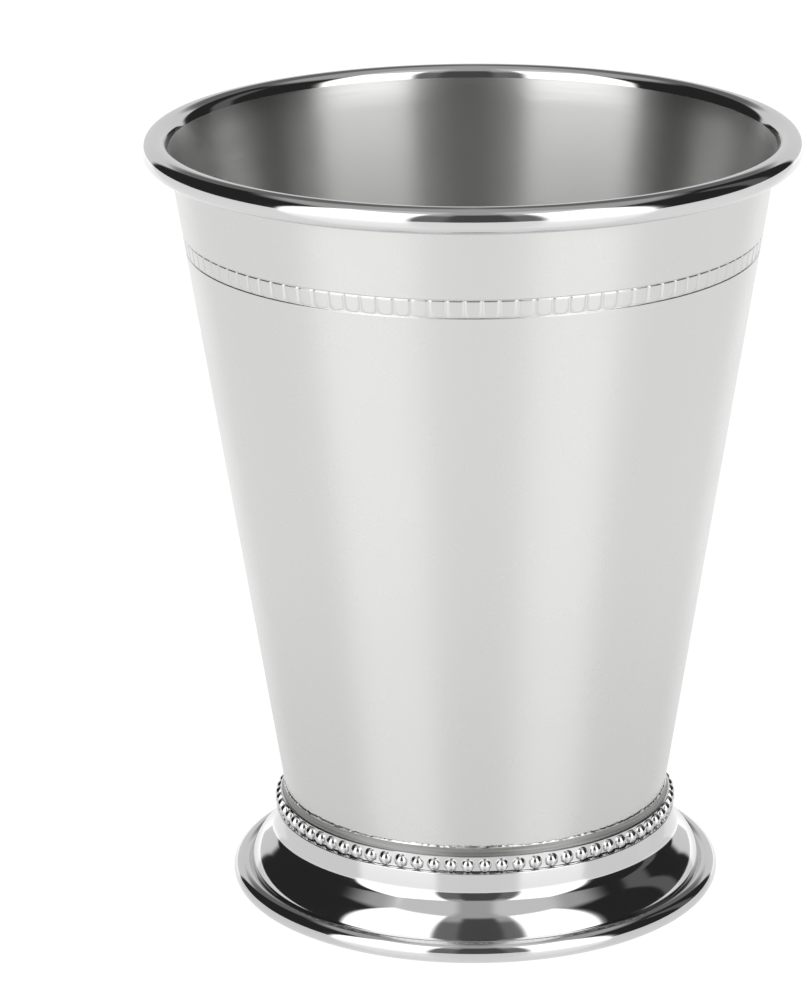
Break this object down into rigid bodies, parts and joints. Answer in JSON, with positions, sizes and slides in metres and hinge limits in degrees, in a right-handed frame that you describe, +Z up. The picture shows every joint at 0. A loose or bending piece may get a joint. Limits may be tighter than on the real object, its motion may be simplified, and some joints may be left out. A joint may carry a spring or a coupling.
{
  "type": "julep cup",
  "caption": "Tapered metal drinking cup with a curled rim, an engraved band, a beaded collar and a flared foot with a rolled edge.",
  "frame": {"origin": "on the table at the middle of the foot", "axes": "+Z up along the cup's axis, towards the mouth; the cup is round, so X and Y are free"},
  "size_m": [0.094, 0.094, 0.113],
  "materials": {
    "satin_silver_plate": "satin outside, brushed round inside, mirror polished on the curled rim",
    "polished_foot": "mirror polished",
    "polished_collar": "mirror polished",
    "solder": "cast, lightly polished"
  },
  "bodies": {
    "root": {"cup_body": "satin_silver_plate", "foot": "polished_foot", "beaded_collar": "polished_collar", "solder_seam": "solder"}
  },
  "joints": []
}
